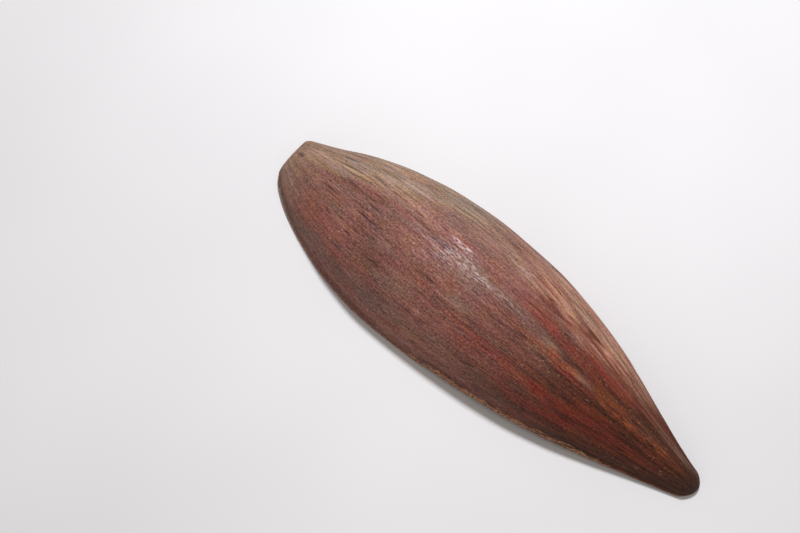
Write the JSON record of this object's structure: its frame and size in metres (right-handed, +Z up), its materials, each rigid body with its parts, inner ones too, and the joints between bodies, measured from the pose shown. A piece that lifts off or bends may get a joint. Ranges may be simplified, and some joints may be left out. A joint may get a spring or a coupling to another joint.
{
  "type": "canoinha pod",
  "caption": "Canoe-shaped half of a dry woody seed pod, rounded outside, hollow below, blunt at the stalk scar and drawn out to a tip.",
  "frame": {"origin": "middle of the pod's footprint, on the surface that it lies on", "axes": "+X along the pod from the stalk scar to the tip, +Y towards the leaner side, +Z up through the keel"},
  "size_m": [0.155, 0.0512, 0.0247],
  "materials": {
    "husk": "dry fibrous, dull"
  },
  "bodies": {
    "root": {"pod_shell": "husk"}
  },
  "joints": []
}
